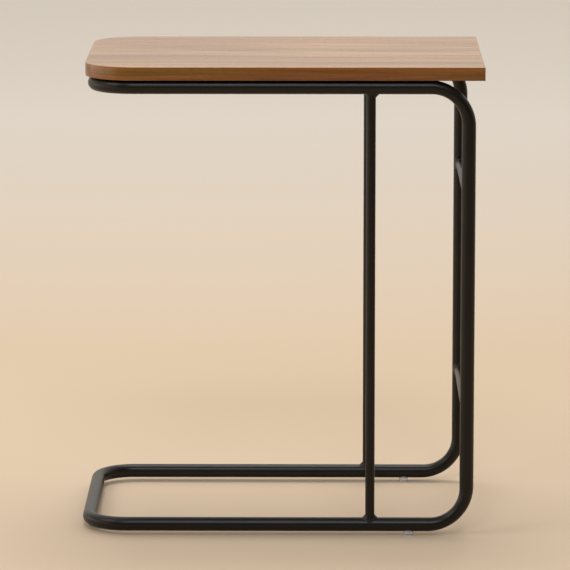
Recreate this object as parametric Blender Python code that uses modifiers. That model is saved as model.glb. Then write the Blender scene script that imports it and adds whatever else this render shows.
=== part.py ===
"""C-shaped side table: a walnut-look board screwed to a welded loop of bent steel tube.

Metres, +Z up. +X points from the open end to the uprights, -Y is the front. The origin lies on the
floor, under the middle of the table's outline.
"""
from math import cos, pi, sin, sqrt

import bmesh
import bpy
from mathutils import Matrix, Vector

# Board
TOP_LENGTH = 0.4485
TOP_DEPTH = 0.300
TOP_THICKNESS = 0.015
TABLE_HEIGHT = 0.535
TOP_CORNER_MARGIN = 0.005    # how much wider the board's rounded corners are than the tube's
SHEET_THICKNESS = 0.0008
BAND_THICKNESS = 0.0012

# Tube loop
TUBE_DIAMETER = 0.0159
TUBE_WALL = 0.0012
BEND_RADIUS = 0.043          # of every bend, to the tube's axis
RAIL_INSET = 0.0015          # outer side of the rails, behind the long edges of the board
UPRIGHT_INSET = 0.0097       # outer side of the uprights, inside the square end of the board
UPPER_END_INSET = 0.0030     # outer side of the upper end bar, inside the rounded end of the board
BASE_END_REACH = 0.0067      # outer side of the base end bar, past the rounded end of the board
SLEEVE_LENGTH = 0.040
SLEEVE_WALL = 0.0010

# Struts and cross bars
STRUT_DIAMETER = 0.0105
STRUT_WALL = 0.0010
STRUT_FROM_UPRIGHT = 0.1094  # between the axes
CROSSBAR_DIAMETER = 0.0105
CROSSBAR_WALL = 0.0010
UPPER_CROSSBAR_DROP = 0.1495  # from the top of the board to the bar's axis
LOWER_CROSSBAR_HEIGHT = 0.137
WELD_SIZE = 0.0034

# Glides under the base
GLIDE_DIAMETER = 0.011
GLIDE_HEIGHT = 0.004
GLIDE_CHAMFER = 0.0008
GLIDE_SADDLE = 0.0014        # how far the glide's rim climbs round the tube
GLIDE_STEM_DIAMETER = 0.0045
GLIDE_STEM_LENGTH = 0.005
GLIDE_FROM_BEND = 0.0224     # from the end of the nearest bend to the glide's axis

# Tabs and screws that hold the board
TAB_WIDTH = 0.022
TAB_THICKNESS = 0.002
TAB_FROM_BEND = 0.040        # from the end of the nearest bend to the middle of a tab
TAB_WELD_SIZE = 0.0020
SCREW_DIAMETER = 0.004
SCREW_COVER = 0.0035         # board core left above the screw's point
SCREW_TIP = 0.003
SCREW_HEAD_DIAMETER = 0.008
SCREW_HEAD_HEIGHT = 0.0026
SCREW_CROWN_DIAMETER = 0.0056
SCREW_MARGIN = 0.003         # from the tab's weld to the screw's head
RECESS_WIDTH = 0.0008
RECESS_LENGTH = 0.0040
RECESS_DEPTH = 0.0012

# Gap between pieces that touch
CLEARANCE = 0.0003

# How finely round shapes are divided
ARC_STEPS = 9
CORNER_STEPS = 12
NOSE_STEPS = 6
TUBE_BEVEL_RESOLUTION = 6
BAR_BEVEL_RESOLUTION = 6
WELD_BEVEL_RESOLUTION = 2
WELD_STEPS = 20
TURNED_STEPS = 16
CUTTER_SIDES = 32
BORE_SIDES = 12
SMOOTH_ANGLE = pi / 6
MERGE_DISTANCE = 0.00001

# Finishes: colour, roughness, metallic
WALNUT = ((0.328, 0.185, 0.100, 1.0), 0.30, 0.0)
WALNUT_EDGE = ((0.220, 0.086, 0.018, 1.0), 0.30, 0.0)
BOARD_CORE = ((0.430, 0.300, 0.180, 1.0), 0.90, 0.0)
BACK_SHEET = ((0.188, 0.093, 0.045, 1.0), 0.30, 0.0)
BLACK_COAT = ((0.007, 0.005, 0.004, 1.0), 0.36, 0.0)
BARE_STEEL = ((0.330, 0.330, 0.340, 1.0), 0.35, 1.0)
CLEAR_PLASTIC = ((0.750, 0.770, 0.760, 1.0), 0.20, 0.0)
ZINC = ((0.560, 0.550, 0.520, 1.0), 0.35, 1.0)

# Places worked out from the sizes above
tube_radius = TUBE_DIAMETER / 2
strut_radius = STRUT_DIAMETER / 2
crossbar_radius = CROSSBAR_DIAMETER / 2
overall_length = TOP_LENGTH + BASE_END_REACH
top_corner_radius = BEND_RADIUS + tube_radius + TOP_CORNER_MARGIN
top_left = -overall_length / 2 + BASE_END_REACH
top_right = overall_length / 2
board_underside = TABLE_HEIGHT - TOP_THICKNESS
core_bottom = board_underside + SHEET_THICKNESS + CLEARANCE
core_top = TABLE_HEIGHT - SHEET_THICKNESS - CLEARANCE
rail_y = TOP_DEPTH / 2 - RAIL_INSET - tube_radius
upper_rail_z = board_underside - CLEARANCE - tube_radius
base_rail_z = GLIDE_HEIGHT + tube_radius
upright_x = top_right - UPRIGHT_INSET - tube_radius
upper_end_x = top_left + UPPER_END_INSET + tube_radius
base_end_x = top_left - BASE_END_REACH + tube_radius
strut_x = upright_x - STRUT_FROM_UPRIGHT
upper_crossbar_z = TABLE_HEIGHT - UPPER_CROSSBAR_DROP
lower_crossbar_z = LOWER_CROSSBAR_HEIGHT

SIDES = {"front": -1, "rear": 1}
AXES = {"x": Vector((1, 0, 0)), "y": Vector((0, 1, 0)), "z": Vector((0, 0, 1))}

for old in list(bpy.data.objects):
    bpy.data.objects.remove(old, do_unlink=True)

parts = bpy.data.collections.new("corner_table")
cutters = bpy.data.collections.new("cutters")
for collection in (parts, cutters):
    bpy.context.scene.collection.children.link(collection)

origin = bpy.data.objects.new("corner_table_origin", None)
parts.objects.link(origin)


# Building blocks

def finish(piece, look):
    """Gives a piece its own Principled material and joins it to the table's origin."""
    colour, roughness, metallic = look
    material = bpy.data.materials.new(piece.name + "_finish")
    material.use_nodes = True
    shader = material.node_tree.nodes["Principled BSDF"]
    shader.inputs["Base Color"].default_value = colour
    shader.inputs["Roughness"].default_value = roughness
    shader.inputs["Metallic"].default_value = metallic
    piece.data.materials.clear()
    piece.data.materials.append(material)
    piece.parent = origin
    return piece


def smooth(mesh):
    mesh.shade_smooth()
    mesh.set_sharp_from_angle(angle=SMOOTH_ANGLE)


def add_object(name, data, is_cutter=False):
    piece = bpy.data.objects.new(name, data)
    (cutters if is_cutter else parts).objects.link(piece)
    if is_cutter:
        piece.hide_render = True
        piece.display_type = "WIRE"
    return piece


def curve_mesh(curve):
    """The evaluated surface of a curve, with its seams and caps welded."""
    carrier = bpy.data.objects.new(curve.name, curve)
    parts.objects.link(carrier)
    graph = bpy.context.evaluated_depsgraph_get()
    mesh = bpy.data.meshes.new_from_object(carrier.evaluated_get(graph))
    bpy.data.objects.remove(carrier, do_unlink=True)
    shape = bmesh.new()
    shape.from_mesh(mesh)
    bmesh.ops.remove_doubles(shape, verts=shape.verts, dist=MERGE_DISTANCE)
    bmesh.ops.recalc_face_normals(shape, faces=shape.faces)
    shape.to_mesh(mesh)
    shape.free()
    return mesh


def swept_curve(name, points, radius, resolution, closed=False, caps=True):
    """A round section of the given radius along a line of points."""
    curve = bpy.data.curves.new(name, "CURVE")
    curve.dimensions = "3D"
    curve.bevel_depth = radius
    curve.bevel_resolution = resolution
    curve.use_fill_caps = caps and not closed
    spline = curve.splines.new("POLY")
    spline.points.add(len(points) - 1)
    for control, place in zip(spline.points, points):
        control.co = (*place, 1.0)
    spline.use_cyclic_u = closed
    return curve


def face_outwards(mesh, points):
    """Turns an open skin so that its faces look away from the line that it surrounds."""
    face = mesh.polygons[0]
    nearest = min((Vector(place) for place in points), key=lambda place: (place - face.center).length)
    if face.normal.dot(face.center - nearest) < 0:
        mesh.flip_normals()


def hollow_tube(name, points, radius, wall, resolution):
    """An open-ended tube: a swept skin thickened inwards."""
    mesh = curve_mesh(swept_curve(name, points, radius, resolution, caps=False))
    face_outwards(mesh, points)
    piece = add_object(name, mesh)
    shell = piece.modifiers.new("wall", "SOLIDIFY")
    shell.thickness = wall
    shell.offset = -1
    smooth(mesh)
    return piece


def upright_outline(name, outline, bottom, height, filled):
    """A flat outline drawn up to a height: a closed slab, or an open wall where it isn't filled."""
    curve = bpy.data.curves.new(name, "CURVE")
    curve.dimensions = "2D"
    curve.fill_mode = "BOTH" if filled else "NONE"
    curve.extrude = height / 2
    spline = curve.splines.new("POLY")
    spline.points.add(len(outline) - 1)
    for control, (x, y) in zip(spline.points, outline):
        control.co = (x, y, 0.0, 1.0)
    spline.use_cyclic_u = filled
    piece = add_object(name, curve_mesh(curve))
    piece.location.z = bottom + height / 2
    return piece


def flat_piece(name, outline, bottom, thickness):
    return upright_outline(name, outline, bottom, thickness, filled=True)


def turned_piece(name, profile, place, is_cutter=False):
    """A profile of radius and height, from the top down, turned round the vertical."""
    mesh = bpy.data.meshes.new(name)
    shape = bmesh.new()
    corners = [shape.verts.new((radius, 0.0, height)) for radius, height in profile]
    for upper, lower in zip(corners, corners[1:]):
        shape.edges.new((upper, lower))
    shape.to_mesh(mesh)
    shape.free()
    piece = add_object(name, mesh, is_cutter)
    piece.location = place
    turn = piece.modifiers.new("turn", "SCREW")
    turn.steps = TURNED_STEPS
    turn.render_steps = TURNED_STEPS
    turn.use_merge_vertices = True
    turn.merge_threshold = MERGE_DISTANCE
    return piece


def cutter_cylinder(name, radius, length, place, axis, sides=CUTTER_SIDES):
    """A closed round bar along one axis, centred on a place."""
    mesh = bpy.data.meshes.new(name)
    shape = bmesh.new()
    bmesh.ops.create_cone(shape, cap_ends=True, segments=sides, radius1=radius, radius2=radius,
                          depth=length)
    shape.to_mesh(mesh)
    shape.free()
    cutter = add_object(name, mesh, is_cutter=True)
    cutter.location = place
    cutter.rotation_euler = AXES["z"].rotation_difference(AXES[axis]).to_euler()
    return cutter


def cutter_box(name, size, place):
    mesh = bpy.data.meshes.new(name)
    shape = bmesh.new()
    bmesh.ops.create_cube(shape, size=1.0, matrix=Matrix.Diagonal((*size, 1.0)))
    shape.to_mesh(mesh)
    shape.free()
    cutter = add_object(name, mesh, is_cutter=True)
    cutter.location = place
    return cutter


def boolean(piece, other, operation):
    change = piece.modifiers.new(operation.lower(), "BOOLEAN")
    change.operation = operation
    change.solver = "EXACT"
    change.object = other


def cut(piece, *tools):
    for tool in tools:
        boolean(piece, tool, "DIFFERENCE")


def arc(centre, first, second, steps):
    """Points of a quarter circle round a centre, from centre + first to centre + second."""
    centre, first, second = Vector(centre), Vector(first), Vector(second)
    turns = [pi / 2 * step / steps for step in range(steps + 1)]
    return [centre + first * cos(turn) + second * sin(turn) for turn in turns]


# Board

def board_outline(inset):
    """The board seen from above, drawn in from its outer edge by the inset."""
    left = top_left + inset
    right = top_right - inset
    side = TOP_DEPTH / 2 - inset
    radius = top_corner_radius - inset
    rear = arc((left + radius, side - radius, 0), (0, radius, 0), (-radius, 0, 0), CORNER_STEPS)
    front = arc((left + radius, radius - side, 0), (-radius, 0, 0), (0, -radius, 0), CORNER_STEPS)
    corners = [Vector((right, side, 0)), *rear, *front, Vector((right, -side, 0))]
    return [(corner.x, corner.y) for corner in corners]


def make_board():
    """A core between a face sheet and a back sheet, all inside the edge bands."""
    outline = board_outline(BAND_THICKNESS + CLEARANCE)
    core = flat_piece("top_core", outline, core_bottom, core_top - core_bottom)
    face = flat_piece("top_face_sheet", outline, TABLE_HEIGHT - SHEET_THICKNESS, SHEET_THICKNESS)
    back = flat_piece("top_back_sheet", outline, board_underside, SHEET_THICKNESS)
    finish(core, BOARD_CORE)
    finish(face, WALNUT)
    finish(back, BACK_SHEET)
    return core, back


def make_edge_bands():
    """One band wraps front, rounded end and rear; a short one closes the square end between its tails."""
    outline = board_outline(0.0)
    wrap = upright_outline("top_edge_band_wrap", outline, board_underside, TOP_THICKNESS, filled=False)
    face = wrap.data.polygons[0]
    if face.normal.dot(face.center) < 0:
        wrap.data.flip_normals()
    shell = wrap.modifiers.new("band", "SOLIDIFY")
    shell.thickness = BAND_THICKNESS
    shell.offset = -1
    shell.use_even_offset = True
    smooth(wrap.data)
    finish(wrap, WALNUT_EDGE)

    side = TOP_DEPTH / 2 - BAND_THICKNESS - CLEARANCE
    left = top_right - BAND_THICKNESS
    strip = [(top_right, side), (left, side), (left, -side), (top_right, -side)]
    finish(flat_piece("top_edge_band_end", strip, board_underside, TOP_THICKNESS), WALNUT_EDGE)


# Frame

def frame_path(side):
    """Axis of one half of the tube loop, from the middle of the upper end bar to that of the base."""
    bend = BEND_RADIUS
    y = side * rail_y
    inner_y = side * (rail_y - bend)
    start = side * CLEARANCE / 2
    inner_x = upright_x - bend
    top, base = upper_rail_z, base_rail_z
    return [
        Vector((upper_end_x, start, top)),
        *arc((upper_end_x + bend, inner_y, top), (-bend, 0, 0), (0, side * bend, 0), ARC_STEPS),
        *arc((inner_x, y, top - bend), (0, 0, bend), (bend, 0, 0), ARC_STEPS),
        *arc((inner_x, y, base + bend), (bend, 0, 0), (0, 0, -bend), ARC_STEPS),
        *arc((base_end_x + bend, inner_y, base), (0, side * bend, 0), (-bend, 0, 0), ARC_STEPS),
        Vector((base_end_x, start, base)),
    ]


def glide_places():
    """Where each glide stands, and the axis of the tube above it."""
    right_x = upright_x - BEND_RADIUS - GLIDE_FROM_BEND
    left_y = rail_y - BEND_RADIUS - GLIDE_FROM_BEND
    places = {}
    for name, side in SIDES.items():
        places[f"{name}_right"] = (Vector((right_x, side * rail_y, 0)), "x")
        places[f"{name}_left"] = (Vector((base_end_x, side * left_y, 0)), "y")
    return places


def make_frame_tubes():
    tubes = {}
    for name, side in SIDES.items():
        path = frame_path(side)
        tube = hollow_tube(f"{name}_frame_tube", path, tube_radius, TUBE_WALL, TUBE_BEVEL_RESOLUTION)
        tubes[name] = finish(tube, BLACK_COAT)
    for name, (place, _) in glide_places().items():
        hole_radius = GLIDE_STEM_DIAMETER / 2 + CLEARANCE
        middle = Vector((place.x, place.y, GLIDE_HEIGHT + tube_radius / 2))
        hole = cutter_cylinder(f"glide_hole_{name}", hole_radius, tube_radius + GLIDE_HEIGHT, middle, "z",
                               BORE_SIDES)
        cut(tubes[name.split("_")[0]], hole)


def make_sleeves():
    """Short inner tubes that line up the two halves where they are butted together."""
    radius = tube_radius - TUBE_WALL - CLEARANCE
    for name, x, z in (("upper", upper_end_x, upper_rail_z), ("lower", base_end_x, base_rail_z)):
        ends = [Vector((x, end * SLEEVE_LENGTH / 2, z)) for end in (-1, 1)]
        sleeve = hollow_tube(f"{name}_joint_sleeve", ends, radius, SLEEVE_WALL, BAR_BEVEL_RESOLUTION)
        finish(sleeve, BARE_STEEL)


def make_tube_cutters():
    """Straight stretches of the tube loop, a clearance larger than the tube."""
    radius = tube_radius + CLEARANCE
    middle_z = (upper_rail_z + base_rail_z) / 2
    tools = {}
    for name, side in SIDES.items():
        y = side * rail_y
        for level, z in (("upper", upper_rail_z), ("base", base_rail_z)):
            key = f"{name}_{level}_rail"
            tools[key] = cutter_cylinder(f"{key}_space", radius, overall_length, (0, y, z), "x")
        key = f"{name}_upright"
        tools[key] = cutter_cylinder(f"{key}_space", radius, TABLE_HEIGHT, (upright_x, y, middle_z), "z")
    place = (base_end_x, 0, base_rail_z)
    tools["base_end"] = cutter_cylinder("base_end_space", radius, TOP_DEPTH, place, "y")
    return tools


def saddle_bead(name, foot, along, out, bar_radius, tools):
    """A weld bead round the foot of a bar that stands on a tube. The foot is on the tube's axis."""
    across = along.cross(out)
    ring_radius = bar_radius + CLEARANCE
    reach = tube_radius + CLEARANCE
    points = []
    for step in range(WELD_STEPS):
        turn = 2 * pi * step / WELD_STEPS
        sideways = ring_radius * sin(turn)
        rise = sqrt(reach ** 2 - sideways ** 2)
        points.append(foot + along * ring_radius * cos(turn) + across * sideways + out * rise)
    mesh = curve_mesh(swept_curve(name, points, WELD_SIZE, WELD_BEVEL_RESOLUTION, closed=True))
    bead = add_object(name, mesh)
    cut(bead, *tools)
    smooth(mesh)
    finish(bead, BLACK_COAT)


def make_struts(tools):
    for name, side in SIDES.items():
        y = side * rail_y
        feet = {"top": Vector((strut_x, y, upper_rail_z)), "bottom": Vector((strut_x, y, base_rail_z))}
        strut = hollow_tube(f"{name}_strut", [feet["top"], feet["bottom"]], strut_radius, STRUT_WALL,
                            BAR_BEVEL_RESOLUTION)
        rails = {"top": tools[f"{name}_upper_rail"], "bottom": tools[f"{name}_base_rail"]}
        cut(strut, *rails.values())
        finish(strut, BLACK_COAT)
        middle = (feet["top"] + feet["bottom"]) / 2
        space = cutter_cylinder(f"{name}_strut_space", strut_radius + CLEARANCE, TABLE_HEIGHT, middle, "z")
        for end, out in (("top", -AXES["z"]), ("bottom", AXES["z"])):
            saddle_bead(f"weld_{name}_strut_{end}", feet[end], AXES["x"], out, strut_radius,
                        (rails[end], space))


def make_crossbars(tools):
    for level, z in (("upper", upper_crossbar_z), ("lower", lower_crossbar_z)):
        feet = {name: Vector((upright_x, side * rail_y, z)) for name, side in SIDES.items()}
        bar = hollow_tube(f"{level}_crossbar", list(feet.values()), crossbar_radius, CROSSBAR_WALL,
                          BAR_BEVEL_RESOLUTION)
        cut(bar, tools["front_upright"], tools["rear_upright"])
        finish(bar, BLACK_COAT)
        space = cutter_cylinder(f"{level}_crossbar_space", crossbar_radius + CLEARANCE, TOP_DEPTH,
                                (upright_x, 0, z), "y")
        for name, side in SIDES.items():
            out = AXES["y"] * -side
            saddle_bead(f"weld_{level}_crossbar_{name}", feet[name], AXES["z"], out, crossbar_radius,
                        (tools[f"{name}_upright"], space))


# Glides

def make_glides(tools):
    """A turned foot, hollowed to sit against the tube, with a stem plugged into the tube's wall."""
    radius = GLIDE_DIAMETER / 2
    stem_radius = GLIDE_STEM_DIAMETER / 2
    rim = GLIDE_HEIGHT + GLIDE_SADDLE
    foot_profile = [(0, rim), (radius, rim), (radius, GLIDE_CHAMFER), (radius - GLIDE_CHAMFER, 0), (0, 0)]
    stem_top = GLIDE_HEIGHT + TUBE_WALL + GLIDE_STEM_LENGTH
    stem_root = GLIDE_HEIGHT / 2
    stem_profile = [(0, stem_top), (stem_radius - GLIDE_CHAMFER, stem_top),
                    (stem_radius, stem_top - GLIDE_CHAMFER), (stem_radius, stem_root), (0, stem_root)]
    for name, (place, axis) in glide_places().items():
        foot = turned_piece(f"glide_{name}", foot_profile, place)
        stem = turned_piece(f"glide_stem_{name}", stem_profile, place, is_cutter=True)
        tube = tools["base_end"] if axis == "y" else tools[f"{name.split('_')[0]}_base_rail"]
        cut(foot, tube)
        boolean(foot, stem, "UNION")
        finish(foot, CLEAR_PLASTIC)


# Board fixings

def make_fixings(tools, core, back):
    """Tabs welded to the inner sides of the upper rails, each with one screw up into the board."""
    tab_top = upper_rail_z + tube_radius
    tab_bottom = tab_top - TAB_THICKNESS
    start = sqrt(tube_radius ** 2 - (tube_radius - TAB_THICKNESS) ** 2) + CLEARANCE
    screw_offset = start + 2 * TAB_WELD_SIZE + SCREW_MARGIN + SCREW_HEAD_DIAMETER / 2
    bore_radius = SCREW_DIAMETER / 2 + CLEARANCE
    head_seat = tab_bottom - CLEARANCE
    screw_top = core_top - SCREW_COVER
    bore_bottom = tab_bottom - TAB_THICKNESS
    bore_length = screw_top + CLEARANCE - bore_bottom
    tab_stations = {
        "left": upper_end_x + BEND_RADIUS + TAB_FROM_BEND,
        "right": upright_x - BEND_RADIUS - TAB_FROM_BEND,
    }
    for side_name, side in SIDES.items():
        for end_name, x in tab_stations.items():
            key = f"{side_name}_{end_name}"
            edge_y = side * (rail_y - start)
            screw_y = side * (rail_y - screw_offset)
            tab = make_tab(key, x, edge_y, screw_y, side, tab_bottom)
            make_screw(key, Vector((x, screw_y, head_seat)), screw_top - head_seat)
            bore_middle = (x, screw_y, bore_bottom + bore_length / 2)
            bore = cutter_cylinder(f"screw_bore_{key}", bore_radius, bore_length, bore_middle, "z",
                                   BORE_SIDES)
            for bored in (tab, back, core):
                cut(bored, bore)
            make_tab_weld(key, x, edge_y, tab_bottom, side, tools[f"{side_name}_upper_rail"])


def make_tab(key, x, edge_y, screw_y, side, bottom):
    """A flat lug with a round nose about its screw, which points to the middle of the table."""
    half = TAB_WIDTH / 2
    first = arc((x, screw_y, 0), (half, 0, 0), (0, -side * half, 0), NOSE_STEPS)
    second = arc((x, screw_y, 0), (0, -side * half, 0), (-half, 0, 0), NOSE_STEPS)
    outline = [(x + half, edge_y)] + [(p.x, p.y) for p in first + second[1:]] + [(x - half, edge_y)]
    return finish(flat_piece(f"tab_{key}", outline, bottom, TAB_THICKNESS), BLACK_COAT)


def make_tab_weld(key, x, edge_y, tab_bottom, side, rail):
    """A short bead in the corner between the tab's underside and the rail."""
    half = TAB_WIDTH / 2 - TAB_WELD_SIZE
    bead_y = edge_y - side * TAB_WELD_SIZE
    ends = [Vector((x + end * half, bead_y, tab_bottom)) for end in (-1, 1)]
    name = f"weld_tab_{key}"
    mesh = curve_mesh(swept_curve(name, ends, TAB_WELD_SIZE, WELD_BEVEL_RESOLUTION))
    bead = add_object(name, mesh)
    size = (2 * TAB_WIDTH, 2 * TAB_WIDTH, TAB_THICKNESS + 2 * CLEARANCE)
    space = cutter_box(f"tab_space_{key}", size, (x, edge_y, tab_bottom + TAB_THICKNESS / 2))
    cut(bead, rail, space)
    smooth(mesh)
    finish(bead, BLACK_COAT)


def make_screw(key, place, length):
    """A pan head below the tab and a pointed shank above it, with a cross recess."""
    shank = SCREW_DIAMETER / 2
    head = SCREW_HEAD_DIAMETER / 2
    crown = SCREW_HEAD_HEIGHT
    profile = [(0, length), (shank, length - SCREW_TIP), (shank, 0), (head, 0),
               (head, -crown / 2), (SCREW_CROWN_DIAMETER / 2, -crown), (0, -crown)]
    screw = turned_piece(f"screw_{key}", profile, place)
    floor = place - AXES["z"] * crown
    for name, size in (("along", (RECESS_LENGTH, RECESS_WIDTH, 2 * RECESS_DEPTH)),
                       ("across", (RECESS_WIDTH, RECESS_LENGTH, 2 * RECESS_DEPTH))):
        cut(screw, cutter_box(f"recess_{name}_{key}", size, floor))
    finish(screw, ZINC)


board_core, board_back = make_board()
make_edge_bands()
make_frame_tubes()
make_sleeves()
tube_spaces = make_tube_cutters()
make_struts(tube_spaces)
make_crossbars(tube_spaces)
make_glides(tube_spaces)
make_fixings(tube_spaces, board_core, board_back)
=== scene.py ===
"""Looks of the C-shaped side table: finishes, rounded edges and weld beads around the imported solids.

Metres, in the solids' own frame: +X points from the open end to the uprights, -Y is the front, +Z is up.
"""
from math import cos, pi, sin, sqrt

import bmesh
import bpy
from mathutils import Matrix, Vector


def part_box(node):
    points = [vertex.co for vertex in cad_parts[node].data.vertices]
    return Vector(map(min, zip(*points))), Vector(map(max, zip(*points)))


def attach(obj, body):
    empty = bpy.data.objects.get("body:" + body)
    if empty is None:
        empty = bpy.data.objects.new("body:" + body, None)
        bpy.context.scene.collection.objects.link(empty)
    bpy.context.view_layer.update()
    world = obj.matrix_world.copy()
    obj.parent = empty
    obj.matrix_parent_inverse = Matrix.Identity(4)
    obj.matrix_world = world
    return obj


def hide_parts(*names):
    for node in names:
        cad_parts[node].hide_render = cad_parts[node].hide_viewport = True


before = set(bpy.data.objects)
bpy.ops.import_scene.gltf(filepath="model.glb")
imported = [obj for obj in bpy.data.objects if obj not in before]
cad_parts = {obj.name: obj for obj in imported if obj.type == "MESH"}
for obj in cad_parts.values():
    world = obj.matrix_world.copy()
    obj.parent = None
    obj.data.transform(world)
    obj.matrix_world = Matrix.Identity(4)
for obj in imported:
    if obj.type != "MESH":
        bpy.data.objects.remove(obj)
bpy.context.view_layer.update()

# Bends and rounded edges, which the boxes of the solids don't give
BEND_RADIUS = 0.043          # to the tube's axis
BEND_FLATTENING = 0.09       # how much thinner the bent tube is in the plane of a bend
TOP_CORNER_RADIUS = 0.05595
ARRIS_RADIUS = 0.0007        # rounding of the board's long upper edges
LOWER_ARRIS_RADIUS = 0.0003  # and of its lower ones
GLIDE_ROUNDING = 0.0009
GLIDE_HUB = 0.05             # innermost ring of a glide, as a share of its radius
GLIDE_TOP_RINGS = (1.0, 0.75, 0.5, GLIDE_HUB)  # rings of its hollowed top, as shares too
TAB_ROUNDING = 0.0005
SCREW_ROUNDING = 0.00015
SUNK = 0.0003                # how far welded pieces reach into each other

# Weld beads: legs along the tube and along the bar, and how lumpy they are
WELD_TUBE_LEG = 0.0038
WELD_BAR_LEG = 0.0038
WELD_BULGE = 0.42            # 0.5 gives a flat bead, less a hollow one
WELD_RIPPLES = 23
WELD_RIPPLE_DEPTH = 0.035
WELD_WAVES = 5               # slow swells round a bead
WELD_WAVE_DEPTH = 0.05
THIN_SIDE = 0.35             # share of the legs on the side that got little filler
TAB_WELD_LEG = 0.0034
TAB_WELD_RIPPLE = 0.0016     # from ripple to ripple
TAB_WELD_BLUNTNESS = 6       # the higher, the nearer to its ends the bead tapers
TAB_WELD_END = 0.02          # square of the share of its legs that is left at the ends

# How finely round shapes are divided
BEND_STEPS = 24
CORNER_STEPS = 40
ARRIS_STEPS = 5
TUBE_SIDES = 48
BAR_SIDES = 48
TURNED_SIDES = 48
WELD_STEPS = 136
WELD_SECTION_STEPS = 6
TAB_WELD_STEPS = 60
BEVEL_STEPS = 3
MERGE_DISTANCE = 0.00001
SHARP_ANGLE = pi / 5

# Walnut grain: cells to a metre, along the grain and across it, and how much each layer shows
DRIFT_CELLS = (3.0, 8.0, 0.0)
FIBRE_CELLS = (40.0, 2600.0, 0.0)
PORE_CELLS = (110.0, 2100.0, 0.0)
STREAKS_ALONG = 4            # streaks to a band, along the grain
STREAKS_ACROSS = 9
RING_SCALE = 0.6             # cells of the growth rings to one of the bands
RING_FOLDS = 14              # growth lines within the range of the rings' noise
RING_SLICE = 7.0             # other levels of the noise, so that the layers don't repeat each other
HUE_SLICE = 3.0
STREAK_SHARE = 0.36
RING_SHARE = 0.14
GRAIN_STOPS = (0.22, 0.50, 0.78)
HUE_STOPS = (0.32, 0.68)
FIBRE_SHADE = 0.25
PORE_SHADE = 0.35
PORE_RANGE = (0.30, 0.37)    # a pore is full below the first level of its noise, and gone above the second
PORE_DEPTH = 0.8             # to the height of a fibre

# Upper edge of the edge bands: a painted highlight line along the rounded arris, and a flat top that is as
# pale as the board's face
PAINTED_HIGHLIGHT_HEIGHT = 0.0009          # height of the painted highlight line
PAINTED_HIGHLIGHT_SHARE = 0.9
BAND_TOP = 0.00005           # height of what counts as flat

# Other finishes: cells to a metre
PEEL_CELLS = 900.0           # orange peel of the black coat
SWELL_CELLS = 260.0          # its lumps
SHADE_CELLS = 22.0           # its slow change of tone
COAT_LUMPS = 0.8             # height of the lumps to that of the peel
WELD_LUMPS = 6.0             # the same on weld beads
PLASTIC_CELLS = 420.0
ZINC_CELLS = 700.0
STEEL_CELLS = (2000.0, 60.0, 2000.0)
CHIP_CELLS = (500.0, 500.0, 900.0)
MOTTLE_STOPS = (0.3, 0.7)    # where a noise leaves its first tone, and where it reaches the second

# Finishes: range of roughness, relief in metres and index of refraction
WALNUT_ROUGHNESS = (0.22, 0.32)
WALNUT_RELIEF = 0.00003
WALNUT_IOR = 1.5
COAT_ROUGHNESS = (0.30, 0.42)
COAT_RELIEF = 0.00003
COAT_IOR = 1.37
PLASTIC_ROUGHNESS = (0.12, 0.32)
PLASTIC_RELIEF = 0.00005
PLASTIC_IOR = 1.49
PLASTIC_CLARITY = 0.7        # share of light that passes through, rather than being scattered
METAL_ROUGHNESS = (0.24, 0.42)
METAL_RELIEF = 0.00002
CHIPBOARD_ROUGHNESS = 0.9
CHIPBOARD_RELIEF = 0.0003
FLOOR_ROUGHNESS = 0.8

# Stage, lamps and the camera, which is fitted to the photograph's edges
FLOOR_SIZE = 80.0
FLOOR_FADE = (1.0, 3.4)      # where behind the table the floor starts to turn pale, and where it is pale
WORLD_FADE = (-0.5, 0.5)     # the same for the surroundings, as the Y of a direction
CEILING_RADIANCE = 0.40
OVERHEAD_RADIANCE = 7.6
KEY_RADIANCE = 7.0
FILL_RADIANCE = 3.3
WINDOW_RADIANCE = 1.6
PHOTO_SIZE = 570
FOCAL_PIXELS = 4256.7        # focal length, in pixels of the photograph
SENSOR_WIDTH = 36.0
CAMERA_PLACE = Vector((0.0412, -4.8563, 1.1139))
CAMERA_YAW = -0.00782        # radians, from +Y towards +X
CAMERA_PITCH = 0.17346       # radians below the horizon

AXES = {"x": Vector((1, 0, 0)), "y": Vector((0, 1, 0)), "z": Vector((0, 0, 1))}
SIDES = {"front": -1, "rear": 1}
ENDS = ("left", "right")


def centre(node):
    low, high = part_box(node)
    return (low + high) / 2


# Places read from the solids
board_low, board_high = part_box("top_edge_band_wrap")
end_band_low, end_band_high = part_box("top_edge_band_end")
board_right = end_band_high.x
band_thickness = end_band_high.x - end_band_low.x
sheet_thickness = board_high.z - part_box("top_face_sheet")[0].z
upper_end = centre("upper_joint_sleeve")
base_end = centre("lower_joint_sleeve")
tube_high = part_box("rear_frame_tube")[1]
tube_radius = tube_high.z - upper_end.z
upright_x = tube_high.x - tube_radius
rail_y = tube_high.y - tube_radius
strut_x = centre("front_strut").x
strut_radius = strut_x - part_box("front_strut")[0].x
crossbar_radius = centre("upper_crossbar").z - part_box("upper_crossbar")[0].z


# Materials

def tone(red, green, blue):
    """A colour given as it looks on screen, 0 to 255, in linear light."""
    shares = [value / 255 for value in (red, green, blue)]
    linear = [share / 12.92 if share < 0.04045 else ((share + 0.055) / 1.055) ** 2.4 for share in shares]
    return (*linear, 1.0)


def even(cells):
    """The same number of cells along each axis."""
    return (cells, cells, cells)


# Painted highlight: an orange line along the edge bands' upper arris, where the rounded edge catches light
PAINTED_ARRIS_HIGHLIGHT = tone(172, 104, 36)
BAND_TOP_TONE = tone(160, 123, 92)


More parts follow.
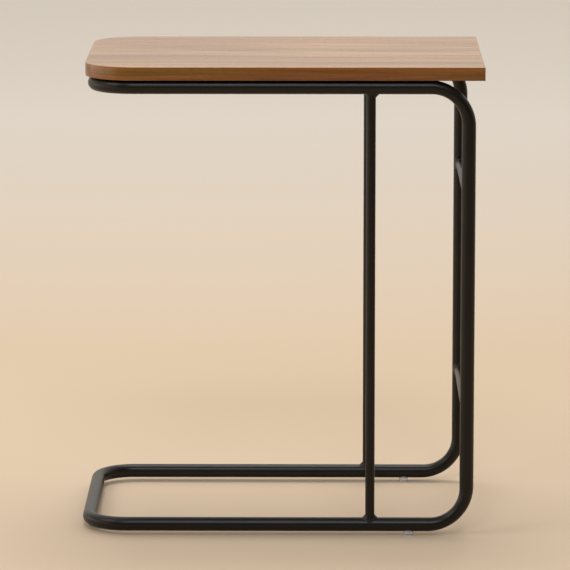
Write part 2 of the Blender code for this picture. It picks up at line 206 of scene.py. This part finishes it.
class Nodes:
    """Short calls for the nodes of a material or of the world."""

    def __init__(self, tree):
        self.tree = tree

    def feed(self, node, inputs):
        for socket, value in inputs.items():
            if isinstance(value, bpy.types.NodeSocket):
                self.tree.links.new(value, node.inputs[socket])
            else:
                node.inputs[socket].default_value = value

    def node(self, kind, inputs, **settings):
        made = self.tree.nodes.new("ShaderNode" + kind)
        for key, value in settings.items():
            setattr(made, key, value)
        self.feed(made, inputs)
        return made

    def place(self, kind="Object"):
        return self.node("TexCoord", {}).outputs[kind]

    def axis(self, place, letter):
        return self.node("SeparateXYZ", {"Vector": place}).outputs[letter]

    def noise(self, place, cells, detail=2.0, roughness=0.5):
        """Noise from 0 to 1, with so many cells to a metre along each axis."""
        scaled = self.node("VectorMath", {0: place, 1: cells}, operation="MULTIPLY").outputs["Vector"]
        inputs = {"Vector": scaled, "Scale": 1.0, "Detail": detail, "Roughness": roughness}
        return self.node("TexNoise", inputs).outputs["Fac"]

    def spread(self, value, low, high, from_low=0.0, from_high=1.0):
        """A value's range stretched or squeezed to another, and held at its ends."""
        ends = {"From Min": from_low, "From Max": from_high, "To Min": low, "To Max": high}
        return self.node("MapRange", {"Value": value, **ends}).outputs["Result"]

    def shifted(self, place, axis, amount):
        """A place moved along one axis by an amount that may vary from point to point."""
        move = self.node("CombineXYZ", {axis: amount}).outputs["Vector"]
        return self.node("VectorMath", {0: place, 1: move}, operation="ADD").outputs["Vector"]

    def shades(self, factor, *stops):
        """Colours along a ramp, each stop a place from 0 to 1 and a colour."""
        ramp = self.node("ValToRGB", {"Fac": factor})
        elements = ramp.color_ramp.elements
        elements.remove(elements[1])
        elements[0].position, elements[0].color = stops[0]
        for position, colour in stops[1:]:
            elements.new(position).color = colour
        return ramp.outputs["Color"]

    def mottle(self, noise, first, second):
        """Two tones that turn into each other round the middle of a noise."""
        return self.shades(noise, *zip(MOTTLE_STOPS, (first, second)))

    def mix(self, factor, first, second, kind="MIX"):
        mixed = self.node("Mix", {0: factor, 6: first, 7: second}, data_type="RGBA", blend_type=kind)
        return mixed.outputs[2]

    def total(self, first, second):
        return self.node("Math", {0: first, 1: second}, operation="ADD").outputs["Value"]

    def folded(self, value, folds):
        """A value from 0 to 1 that rises and falls so many times while the given one goes from 0 to 1."""
        inputs = {0: self.spread(value, 0.0, 2.0 * folds), 1: 1.0}
        return self.node("Math", inputs, operation="PINGPONG").outputs["Value"]


class Finish(Nodes):
    """A Principled material."""

    def __init__(self, name):
        self.material = bpy.data.materials.new(name)
        self.material.use_nodes = True
        super().__init__(self.material.node_tree)
        self.shader = self.tree.nodes["Principled BSDF"]

    def set(self, **inputs):
        self.feed(self.shader, {key.replace("_", " "): value for key, value in inputs.items()})

    def bump(self, height, distance):
        made = self.node("Bump", {"Height": height, "Distance": distance, "Strength": 1.0})
        self.set(Normal=made.outputs["Normal"])


def walnut(name, coordinates, tones, tints, bands, hues, wander, painted_arris_and_flat_top=False):
    """Walnut grain along the first coordinate: soft bands, growth lines, streaks, fibres and dark pores.

    Tones go from dark to light. Bands and hues are cells to a metre, along the grain and across it.
    Wander is how far the grain strays sideways. The painted highlight along the upper arris needs a height
    as the second coordinate.
    """
    finish = Finish(name)
    place = finish.place(coordinates)
    drift = finish.spread(finish.noise(place, DRIFT_CELLS), -wander, wander)
    grain = finish.shifted(place, "Y", drift)
    along, across = bands
    streak_cells = (STREAKS_ALONG * along, STREAKS_ACROSS * across, 0.0)
    ring_cells = (RING_SCALE * along, RING_SCALE * across, 1.0)
    wide = finish.noise(grain, (along, across, 0.0), detail=5.0, roughness=0.58)
    streaks = finish.noise(grain, streak_cells, detail=4.0, roughness=0.6)
    rings = finish.noise(finish.shifted(grain, "Z", RING_SLICE), ring_cells, detail=1.0)
    hue = finish.noise(finish.shifted(grain, "Z", HUE_SLICE), (*hues, 1.0))
    fibres = finish.noise(place, FIBRE_CELLS)
    pores = finish.spread(finish.noise(place, PORE_CELLS, detail=1.0), 1.0, 0.0, *PORE_RANGE)

    # The finer layers move the figure up and down about the bands, so these start half their sum lower
    lift = (STREAK_SHARE + RING_SHARE) / 2
    lines = finish.spread(finish.folded(rings, RING_FOLDS), 0.0, RING_SHARE)
    fine = finish.total(finish.spread(streaks, 0.0, STREAK_SHARE), lines)
    figure = finish.total(finish.spread(wide, -lift, 1.0 - lift), fine)
    dark = tones[0]
    colour = finish.shades(figure, *zip(GRAIN_STOPS, tones))
    colour = finish.mix(1.0, colour, finish.shades(hue, *zip(HUE_STOPS, tints)), "MULTIPLY")
    colour = finish.mix(finish.spread(fibres, 0.0, FIBRE_SHADE), colour, dark)
    colour = finish.mix(finish.spread(pores, 0.0, PORE_SHADE), colour, dark, "MULTIPLY")
    # Painted highlight: a lighter orange line along the band's upper arris stands in for light caught on
    # the rounded edge; the flat top above it gets the band's own colour
    if painted_arris_and_flat_top:
        height = finish.axis(place, "Y")
        wear_and_painted_highlight = finish.spread(height, 0.0, PAINTED_HIGHLIGHT_SHARE, board_high.z - PAINTED_HIGHLIGHT_HEIGHT, board_high.z)
        colour = finish.mix(wear_and_painted_highlight, colour, PAINTED_ARRIS_HIGHLIGHT)
        flush = finish.spread(height, 0.0, 1.0, board_high.z - BAND_TOP, board_high.z)
        colour = finish.mix(flush, colour, BAND_TOP_TONE)
    finish.set(Base_Color=colour, Roughness=finish.spread(fibres, *WALNUT_ROUGHNESS), IOR=WALNUT_IOR)
    finish.bump(finish.total(fibres, finish.spread(pores, 0.0, -PORE_DEPTH)), WALNUT_RELIEF)
    return finish.material


def black_coat(name, lumps):
    """Semi-matt black powder coat with an orange-peel skin, lumpier on the weld beads."""
    finish = Finish(name)
    place = finish.place()
    peel = finish.noise(place, even(PEEL_CELLS))
    swell = finish.noise(place, even(SWELL_CELLS), detail=1.0)
    shade = finish.noise(place, even(SHADE_CELLS), detail=3.0)
    colour = finish.mottle(shade, tone(14, 10, 5), tone(20, 14, 8))
    finish.set(Base_Color=colour, Roughness=finish.spread(peel, *COAT_ROUGHNESS), IOR=COAT_IOR)
    finish.bump(finish.total(peel, finish.spread(swell, 0.0, lumps)), COAT_RELIEF)
    return finish.material


def clear_plastic():
    finish = Finish("clear_plastic_glide")
    cloud = finish.noise(finish.place(), even(PLASTIC_CELLS), detail=3.0)
    finish.set(Base_Color=finish.mottle(cloud, tone(214, 218, 230), tone(240, 242, 248)),
               Roughness=finish.spread(cloud, *PLASTIC_ROUGHNESS),
               IOR=PLASTIC_IOR,
               Transmission_Weight=PLASTIC_CLARITY)
    finish.bump(cloud, PLASTIC_RELIEF)
    return finish.material


def plated_metal(name, dull, bright, cells):
    finish = Finish(name)
    wear_and_painted_highlight = finish.noise(finish.place(), cells, detail=3.0)
    colour = finish.mottle(wear_and_painted_highlight, dull, bright)
    finish.set(Base_Color=colour, Roughness=finish.spread(wear_and_painted_highlight, *METAL_ROUGHNESS), Metallic=1.0)
    finish.bump(wear_and_painted_highlight, METAL_RELIEF)
    return finish.material


def chipboard():
    finish = Finish("raw_chipboard")
    chips = finish.noise(finish.place(), CHIP_CELLS, detail=5.0, roughness=0.7)
    stops = ((0.30, tone(150, 122, 88)), (0.55, tone(196, 168, 130)), (0.75, tone(214, 190, 154)))
    finish.set(Base_Color=finish.shades(chips, *stops), Roughness=CHIPBOARD_ROUGHNESS)
    finish.bump(chips, CHIPBOARD_RELIEF)
    return finish.material


WALNUT_FACE = walnut(
    "walnut_face", "Object",
    tones=(tone(113, 82, 58), tone(158, 121, 90), tone(197, 158, 123)),
    tints=(tone(255, 236, 237), tone(247, 253, 232)),
    bands=(1.4, 24.0), hues=(1.2, 42.0), wander=0.006)
WALNUT_EDGE = walnut(
    "walnut_edge", "UV",
    tones=(tone(96, 61, 22), tone(134, 88, 35), tone(168, 116, 54)),
    tints=(tone(255, 220, 244), tone(232, 252, 226)),
    bands=(2.2, 130.0), hues=(3.5, 150.0), wander=0.004, painted_arris_and_flat_top=True)
WALNUT_BACK = walnut(
    "walnut_back", "Object",
    tones=(tone(100, 70, 48), tone(120, 86, 60), tone(136, 100, 72)),
    tints=(tone(255, 240, 250), tone(250, 252, 240)),
    bands=(1.2, 14.0), hues=(1.0, 22.0), wander=0.008)
BLACK_COAT = black_coat("black_powder_coat", COAT_LUMPS)
WELD_COAT = black_coat("black_weld_coat", WELD_LUMPS)
CLEAR_PLASTIC = clear_plastic()
ZINC = plated_metal("zinc_plate", tone(168, 166, 158), tone(208, 206, 198), even(ZINC_CELLS))
BARE_STEEL = plated_metal("bare_steel", tone(140, 140, 142), tone(180, 180, 184), STEEL_CELLS)
CHIPBOARD = chipboard()


# Building blocks

def add_piece(name, mesh, material, slot, *nodes):
    """A new piece that stands for the given nodes of the solid model."""
    piece = bpy.data.objects.new(name, mesh)
    bpy.context.scene.collection.objects.link(piece)
    mesh.materials.append(material)
    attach(piece, "root")
    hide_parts(*nodes)


def dress(node, material, rounding=None):
    """Gives a node of the solid model its finish and, where asked, rounded edges."""
    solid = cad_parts[node]
    solid.data.materials.clear()
    solid.data.materials.append(material)
    if rounding:
        joined = solid.modifiers.new("joined", "WELD")
        joined.merge_threshold = MERGE_DISTANCE
        edges = solid.modifiers.new("rounded", "BEVEL")
        edges.width = rounding
        edges.segments = BEVEL_STEPS
        edges.limit_method = "ANGLE"
        edges.harden_normals = True


def skin(name, rings, loop=False):
    """A closed surface through rings of equally many points. A loop joins the last ring to the first."""
    mesh = bpy.data.meshes.new(name)
    shape = bmesh.new()
    rows = [[shape.verts.new(point) for point in ring] for ring in rings]
    pairs = list(zip(rows, rows[1:]))
    if loop:
        pairs.append((rows[-1], rows[0]))
    else:
        shape.faces.new(rows[0])
        shape.faces.new(rows[-1])
    for first, second in pairs:
        for here in range(len(first)):
            shape.faces.new((first[here - 1], first[here], second[here], second[here - 1]))
    bmesh.ops.recalc_face_normals(shape, faces=shape.faces)
    shape.to_mesh(mesh)
    shape.free()
    mesh.shade_smooth()
    mesh.set_sharp_from_angle(angle=SHARP_ANGLE)
    return mesh


def turns(sides):
    return [2 * pi * side / sides for side in range(sides)]


def quarter_turns(steps):
    return [pi / 2 * step / steps for step in range(steps + 1)]


def arc(middle, first, second, steps):
    """Points of a quarter circle round a middle, from middle + first to middle + second."""
    middle, first, second = Vector(middle), Vector(first), Vector(second)
    return [middle + first * cos(turn) + second * sin(turn) for turn in quarter_turns(steps)]


def seat_rise(sideways, radius):
    """How far the surface of a round tube stands from its axis, at a distance sideways of it."""
    return sqrt(radius ** 2 - sideways ** 2)


def bead_section(start, corner, end):
    """A weld's face, from one leg's end to the other's, bowed towards the corner."""
    control = corner + (start + end - 2 * corner) * WELD_BULGE
    shares = [step / WELD_SECTION_STEPS for step in range(WELD_SECTION_STEPS + 1)]
    return [start * (1 - t) ** 2 + control * 2 * t * (1 - t) + end * t ** 2 for t in shares]


# Board

def board_outline(inset):
    """The board seen from above, drawn in by the inset, from the rear square corner to the front one."""
    left, right = board_low.x + inset, board_right - inset
    side = board_high.y - inset
    radius = TOP_CORNER_RADIUS - inset
    rear = arc((left + radius, side - radius, 0), (0, radius, 0), (-radius, 0, 0), CORNER_STEPS)
    front = arc((left + radius, radius - side, 0), (-radius, 0, 0), (0, -radius, 0), CORNER_STEPS)
    return [Vector((right, side, 0)), *rear, *front, Vector((right, -side, 0))]


def slab(name, outline, bottom, top):
    return skin(name, [[point + AXES["z"] * height for point in outline] for height in (bottom, top)])


def band_section():
    """Section of an edge band: distance in from the board's edge, and height, with rounded outer edges."""
    top, bottom = board_high.z, board_low.z
    corner = [(1 - sin(turn), 1 - cos(turn)) for turn in quarter_turns(ARRIS_STEPS)]
    upper = [(ARRIS_RADIUS * inward, top - ARRIS_RADIUS * drop) for inward, drop in corner]
    lower = [(LOWER_ARRIS_RADIUS * inward, bottom + LOWER_ARRIS_RADIUS * rise)
             for rise, inward in corner]
    return [(band_thickness, top), *upper, *lower, (band_thickness, bottom)]


def band(name, path, normals):
    """An edge band along a path. Its grain follows the path, through the texture coordinates."""
    section = band_section()
    rings = [[point - normal * inset + AXES["z"] * height for inset, height in section]
             for point, normal in zip(path, normals)]
    mesh = skin(name, rings)
    lengths = [0.0]
    for here, after in zip(path, path[1:]):
        lengths.append(lengths[-1] + (after - here).length)
    grain = mesh.uv_layers.new(name="grain")
    for corner in mesh.loops:
        ring, step = divmod(corner.vertex_index, len(section))
        grain.data[corner.index].uv = (lengths[ring], section[step][1])
    return mesh


def make_board():
    inner = board_outline(band_thickness)
    face = slab("walnut_top", inner, board_high.z - sheet_thickness, board_high.z)
    add_piece("walnut_top", face, WALNUT_FACE, "walnut_face", "top_face_sheet")
    back = slab("walnut_underside", inner, board_low.z, board_low.z + sheet_thickness)
    add_piece("walnut_underside", back, WALNUT_BACK, "back_sheet", "top_back_sheet")

    corner = quarter_turns(CORNER_STEPS)
    rear = [Vector((-sin(turn), cos(turn), 0)) for turn in corner]
    front = [Vector((-cos(turn), -sin(turn), 0)) for turn in corner]
    normals = [AXES["y"], *rear, *front, -AXES["y"]]
    wrap = band("walnut_edge_wrap", board_outline(0.0), normals)
    add_piece("walnut_edge_wrap", wrap, WALNUT_EDGE, "walnut_edge", "top_edge_band_wrap")

    side = board_high.y - band_thickness
    ends = [Vector((board_right, y, 0)) for y in (-side, side)]
    strip = band("walnut_edge_end", ends, [AXES["x"], AXES["x"]])
    add_piece("walnut_edge_end", strip, WALNUT_EDGE, "walnut_edge", "top_edge_band_end")


# Frame

def loop_stations():
    """Points round the axis of the tube loop, each with the way to the middle of the bend that it is in."""
    bend = BEND_RADIUS
    right, inner_y = upright_x - bend, rail_y - bend
    top, base = upper_end.z, base_end.z
    bends = [
        ((upper_end.x + bend, inner_y, top), (-bend, 0, 0), (0, bend, 0)),
        ((right, rail_y, top - bend), (0, 0, bend), (bend, 0, 0)),
        ((right, rail_y, base + bend), (bend, 0, 0), (0, 0, -bend)),
        ((base_end.x + bend, inner_y, base), (0, bend, 0), (-bend, 0, 0)),
    ]
    rear = []
    for middle, first, second in bends:
        for step, point in enumerate(arc(middle, first, second, BEND_STEPS)):
            inward = (Vector(middle) - point).normalized()
            rear.append((point, inward * sqrt(sin(pi * step / BEND_STEPS))))
    mirror = Matrix.Diagonal((1, -1, 1))
    return rear + [(mirror @ point, mirror @ inward) for point, inward in reversed(rear)]


def make_tube_loop():
    """One continuous bent tube, a little flattened in its bends."""
    stations = loop_stations()
    points = [point for point, _ in stations]
    tangent, normal = AXES["y"], AXES["z"]
    rings = []
    for behind, (point, inward), ahead in zip(points[-1:] + points, stations, points[1:] + points[:1]):
        turned_tangent = (ahead - behind).normalized()
        normal = tangent.rotation_difference(turned_tangent) @ normal
        tangent = turned_tangent
        across = tangent.cross(normal)
        ring = []
        for turn in turns(TUBE_SIDES):
            offset = (normal * cos(turn) + across * sin(turn)) * tube_radius
            ring.append(point + offset - inward * offset.dot(inward) * BEND_FLATTENING)
        rings.append(ring)
    mesh = skin("tube_loop", rings, loop=True)
    add_piece("tube_loop", mesh, BLACK_COAT, "black_coat", "front_frame_tube", "rear_frame_tube")


def coped_bar(name, start, end, along, radius):
    """A round bar between the axes of two tubes, cut to sit on their round sides."""
    out = (end - start).normalized()
    across = along.cross(out)
    near, far = [], []
    for turn in turns(BAR_SIDES):
        around = (along * cos(turn) + across * sin(turn)) * radius
        rise = out * seat_rise(radius * sin(turn), tube_radius - SUNK)
        near.append(start + around + rise)
        far.append(end + around - rise)
    return skin(name, [near, far])


def weld_ring(name, foot, along, out, bar_radius, heavy_side=None):
    """A bead round the foot of a bar that stands on a tube. The foot is on the tube's axis.

    The heavy side is the direction that got more filler; without it the bead is even.
    """
    across = along.cross(out)
    rings = []
    for turn in turns(WELD_STEPS):
        radial = along * cos(turn) + across * sin(turn)
        sideways = bar_radius * sin(turn)
        rise = seat_rise(sideways, tube_radius)
        ripple = WELD_RIPPLE_DEPTH * cos(WELD_RIPPLES * turn)
        share = 1.0 + ripple + WELD_WAVE_DEPTH * sin(WELD_WAVES * turn)
        if heavy_side is not None:
            share *= THIN_SIDE + (1 - THIN_SIDE) * (1 + radial.dot(heavy_side)) / 2
        corner = foot + radial * bar_radius + out * rise
        tube_normal = (across * sideways + out * rise).normalized()
        away = (radial - tube_normal * radial.dot(tube_normal)).normalized()
        on_tube = corner + away * WELD_TUBE_LEG * share
        from_axis = (on_tube - foot) - along * (on_tube - foot).dot(along)
        on_tube += from_axis.normalized() * (tube_radius - from_axis.length)
        on_bar = corner + out * WELD_BAR_LEG * share
        root = corner - (tube_normal + radial) * SUNK
        rings.append([on_tube - tube_normal * SUNK, *bead_section(on_tube, corner, on_bar),
                      on_bar - radial * SUNK, root])
    return skin(name, rings, loop=True)


def make_struts():
    for name, side in SIDES.items():
        top = Vector((strut_x, side * rail_y, upper_end.z))
        bottom = Vector((strut_x, side * rail_y, base_end.z))
        bar = coped_bar(f"{name}_strut_bar", bottom, top, AXES["x"], strut_radius)
        add_piece(f"{name}_strut_bar", bar, BLACK_COAT, "black_coat", f"{name}_strut")
        feet = (("top", top, -AXES["z"], AXES["x"]), ("bottom", bottom, AXES["z"], None))
        for end, foot, out, heavy_side in feet:
            key = f"{name}_strut_{end}_bead"
            bead = weld_ring(key, foot, AXES["x"], out, strut_radius, heavy_side)
            add_piece(key, bead, WELD_COAT, "coated_weld", f"weld_{name}_strut_{end}")


def make_crossbars():
    for level in ("upper", "lower"):
        height = centre(f"{level}_crossbar").z
        feet = {name: Vector((upright_x, side * rail_y, height)) for name, side in SIDES.items()}
        bar = coped_bar(f"{level}_cross_bar", feet["front"], feet["rear"], AXES["z"], crossbar_radius)
        add_piece(f"{level}_cross_bar", bar, BLACK_COAT, "black_coat", f"{level}_crossbar")
        for name, side in SIDES.items():
            key = f"{level}_cross_bar_{name}_bead"
            bead = weld_ring(key, feet[name], AXES["z"], AXES["y"] * -side, crossbar_radius)
            add_piece(key, bead, WELD_COAT, "coated_weld", f"weld_{level}_crossbar_{name}")


# Glides

def make_glide(key, tube_axis):
    """A clear foot with a rounded lower edge, hollowed on top to the round of the tube."""
    node = f"glide_{key}"
    low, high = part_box(node)
    radius = (high.x - low.x) / 2
    place = Vector((low.x + radius, low.y + radius, low.z))
    across = AXES["z"].cross(AXES[tube_axis])
    around = [Vector((cos(turn), sin(turn), 0)) for turn in turns(TURNED_SIDES)]
    rounded = [(radius - GLIDE_ROUNDING * (1 - sin(turn)), GLIDE_ROUNDING * (1 - cos(turn)))
               for turn in quarter_turns(ARRIS_STEPS)]
    rings = [[place + way * ring_radius + AXES["z"] * height for way in around]
             for ring_radius, height in [(GLIDE_HUB * radius, 0.0), *rounded]]
    for share in GLIDE_TOP_RINGS:
        ring_radius = share * radius
        seats = [base_end.z - seat_rise(ring_radius * way.dot(across), tube_radius) for way in around]
        rings.append([place + way * ring_radius + AXES["z"] * seat for way, seat in zip(around, seats)])
    add_piece(f"clear_{node}", skin(f"clear_{node}", rings), CLEAR_PLASTIC, "clear_plastic", node)


# Board fixings

def tab_bead(name, key, side):
    """A short rippled bead in the corner between a tab's underside and the rail."""
    low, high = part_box(f"weld_tab_{key}")
    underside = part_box(f"tab_{key}")[0].z
    axis = Vector((0, side * rail_y, upper_end.z))
    inward = AXES["y"] * -side
    corner = axis + inward * seat_rise(underside - axis.z, tube_radius) + AXES["z"] * (underside - axis.z)
    middle, half = (low.x + high.x) / 2, (high.x - low.x) / 2
    rings = []
    for step in range(TAB_WELD_STEPS + 1):
        along = 2 * step / TAB_WELD_STEPS - 1
        taper = sqrt(max(1 - along ** TAB_WELD_BLUNTNESS, TAB_WELD_END))
        share = taper * (1 + WELD_RIPPLE_DEPTH * cos(2 * pi * along * half / TAB_WELD_RIPPLE))
        on_tab = corner + inward * TAB_WELD_LEG * share
        on_rail = corner - AXES["z"] * TAB_WELD_LEG * share
        on_rail += (on_rail - axis).normalized() * (tube_radius - (on_rail - axis).length)
        root = corner + (AXES["z"] - inward) * SUNK
        section = [on_rail - inward * SUNK, *bead_section(on_rail, corner, on_tab),
                   on_tab + AXES["z"] * SUNK, root]
        rings.append([point + AXES["x"] * (middle + along * half) for point in section])
    return skin(name, rings)


def make_fixings():
    for side_name, side in SIDES.items():
        for end_name in ENDS:
            key = f"{side_name}_{end_name}"
            dress(f"tab_{key}", BLACK_COAT, TAB_ROUNDING)
            dress(f"screw_{key}", ZINC, SCREW_ROUNDING)
            bead = tab_bead(f"tab_{key}_bead", key, side)
            add_piece(f"tab_{key}_bead", bead, WELD_COAT, "coated_weld", f"weld_tab_{key}")


make_board()
make_tube_loop()
make_struts()
make_crossbars()
for side_name in SIDES:
    make_glide(f"{side_name}_left", "y")
    make_glide(f"{side_name}_right", "x")
make_fixings()
dress("top_core", CHIPBOARD)
dress("upper_joint_sleeve", BARE_STEEL)
dress("lower_joint_sleeve", BARE_STEEL)


# Stage

def make_floor():
    mesh = bpy.data.meshes.new("floor")
    shape = bmesh.new()
    bmesh.ops.create_grid(shape, x_segments=1, y_segments=1, size=FLOOR_SIZE / 2)
    shape.to_mesh(mesh)
    shape.free()
    floor = bpy.data.objects.new("floor", mesh)
    bpy.context.scene.collection.objects.link(floor)
    finish = Finish("pale_floor")
    depth = finish.axis(finish.place(), "Y")
    share = finish.spread(depth, 0.0, 1.0, *FLOOR_FADE)
    colour = finish.mix(share, tone(207, 186, 160), tone(231, 224, 214))
    finish.set(Base_Color=colour, Roughness=FLOOR_ROUGHNESS)
    mesh.materials.append(finish.material)


def make_softbox(name, place, target, size, radiance, colour):
    """A large area lamp that is as bright as a surface of the given radiance."""
    width, height = size
    lamp = bpy.data.lights.new(name, "AREA")
    lamp.shape = "RECTANGLE"
    lamp.size = width
    lamp.size_y = height
    lamp.energy = radiance * pi * width * height
    lamp.color = colour[:3]
    holder = bpy.data.objects.new(name, lamp)
    bpy.context.scene.collection.objects.link(holder)
    holder.location = place
    holder.rotation_euler = (Vector(target) - Vector(place)).to_track_quat("-Z", "Y").to_euler()
    holder.visible_camera = False


def make_world():
    """Surroundings that are pale behind the table and dim on the viewer's side."""
    world = bpy.data.worlds.new("studio")
    bpy.context.scene.world = world
    world.use_nodes = True
    nodes = Nodes(world.node_tree)
    depth = nodes.axis(nodes.place("Generated"), "Y")
    share = nodes.spread(depth, 0.0, 1.0, *WORLD_FADE)
    colour = nodes.mix(share, tone(92, 77, 60), tone(226, 217, 204))
    nodes.feed(nodes.tree.nodes["Background"], {"Color": colour, "Strength": 1.0})


def make_camera():
    data = bpy.data.cameras.new("camera")
    data.sensor_width = SENSOR_WIDTH
    data.lens = FOCAL_PIXELS / PHOTO_SIZE * SENSOR_WIDTH
    camera = bpy.data.objects.new("camera", data)
    bpy.context.scene.collection.objects.link(camera)
    level = Vector((sin(CAMERA_YAW), cos(CAMERA_YAW), 0))
    ahead = level * cos(CAMERA_PITCH) - AXES["z"] * sin(CAMERA_PITCH)
    right = level.cross(AXES["z"])
    turned_axes = Matrix((right, right.cross(ahead), -ahead)).transposed()
    camera.matrix_world = Matrix.Translation(CAMERA_PLACE) @ turned_axes.to_4x4()
    bpy.context.scene.camera = camera


make_floor()
make_world()
make_softbox("ceiling", place=(0, 4.4, 3.0), target=(0, 4.4, 0), size=(10.0, 12.0),
             radiance=CEILING_RADIANCE, colour=tone(250, 252, 255))
make_softbox("overhead", place=(0, 0.75, 2.8), target=(0, 0.75, 0), size=(1.0, 1.0),
             radiance=OVERHEAD_RADIANCE, colour=tone(255, 252, 250))
make_softbox("key", place=(0, -4.5, 4.5), target=(0, 0, 0.2), size=(2.5, 2.1),
             radiance=KEY_RADIANCE, colour=tone(234, 244, 255))
make_softbox("fill", place=(-2.8, -1.6, 2.8), target=(0, 0, 0.4), size=(1.8, 1.8),
             radiance=FILL_RADIANCE, colour=tone(255, 250, 244))
make_softbox("window", place=(-4.0, -0.6, 0.45), target=(0, -0.6, 0.45), size=(6.0, 0.9),
             radiance=WINDOW_RADIANCE, colour=tone(255, 250, 244))
make_camera()
bpy.context.scene.view_settings.view_transform = "Standard"
